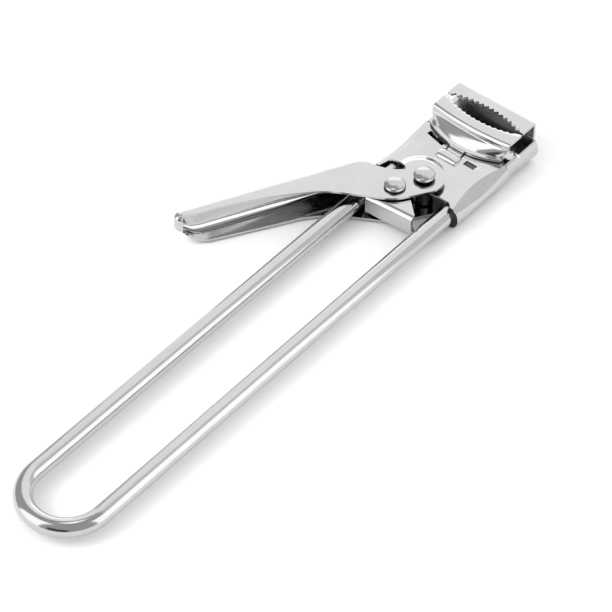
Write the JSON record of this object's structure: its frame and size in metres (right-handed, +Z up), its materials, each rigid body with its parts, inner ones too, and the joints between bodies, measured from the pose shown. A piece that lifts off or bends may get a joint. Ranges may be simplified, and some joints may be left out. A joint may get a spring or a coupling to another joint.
{
  "type": "adjustable manual can and jar lid opener",
  "caption": "Bent-rod lid opener: a toothed jaw fixed on a long U-shaped handle, a sliding carriage with a second toothed jaw, and a channel lever with a biting pawl that clamps it.",
  "frame": {"origin": "on the lever's pivot axis, at the flat tail of the pivot rivet, which is the lowest plane of the object as it lies", "axes": "+X along the handle from its loop towards the jaws, +Y across the handle towards the side the lever opens to, +Z up, out of the face with the rivet heads"},
  "size_m": [0.218, 0.0666, 0.0156],
  "materials": {
    "rod_steel": "polished stainless rod",
    "sheet_steel": "mirror-polished stainless sheet",
    "jaw_steel": "polished stainless sheet with cut teeth",
    "rivet_steel": "set and tumbled rivet steel"
  },
  "bodies": {
    "handle": {"handle_rod": "rod_steel", "fixed_jaw": "jaw_steel"},
    "carriage": {"carriage": "sheet_steel", "movable_jaw": "jaw_steel", "pivot_bush": "rivet_steel", "pivot_rivet": "rivet_steel"},
    "lever": {"lever": "sheet_steel", "pawl_rivet": "rivet_steel"},
    "pawl": {"pawl": "sheet_steel"}
  },
  "joints": [
    {"name": "carriage_slide", "type": "slide", "parent": "handle", "child": "carriage", "axis": [1, 0, 0], "range_m": [-0.095, 0]},
    {"name": "lever_pivot", "type": "hinge", "parent": "carriage", "child": "lever", "pos_m": [0, 0, 0], "axis": [0, 0, 1], "range_deg": [-2.5, 17]},
    {"name": "pawl_pivot", "type": "hinge", "parent": "lever", "child": "pawl", "pos_m": [-0.0089, 0.0047, 0], "axis": [0, 0, 1], "range_deg": [-31, 5]}
  ],
  "couplings": [
    {"joint": "pawl_pivot", "follows": "lever_pivot", "ratio": -1.79}
  ]
}
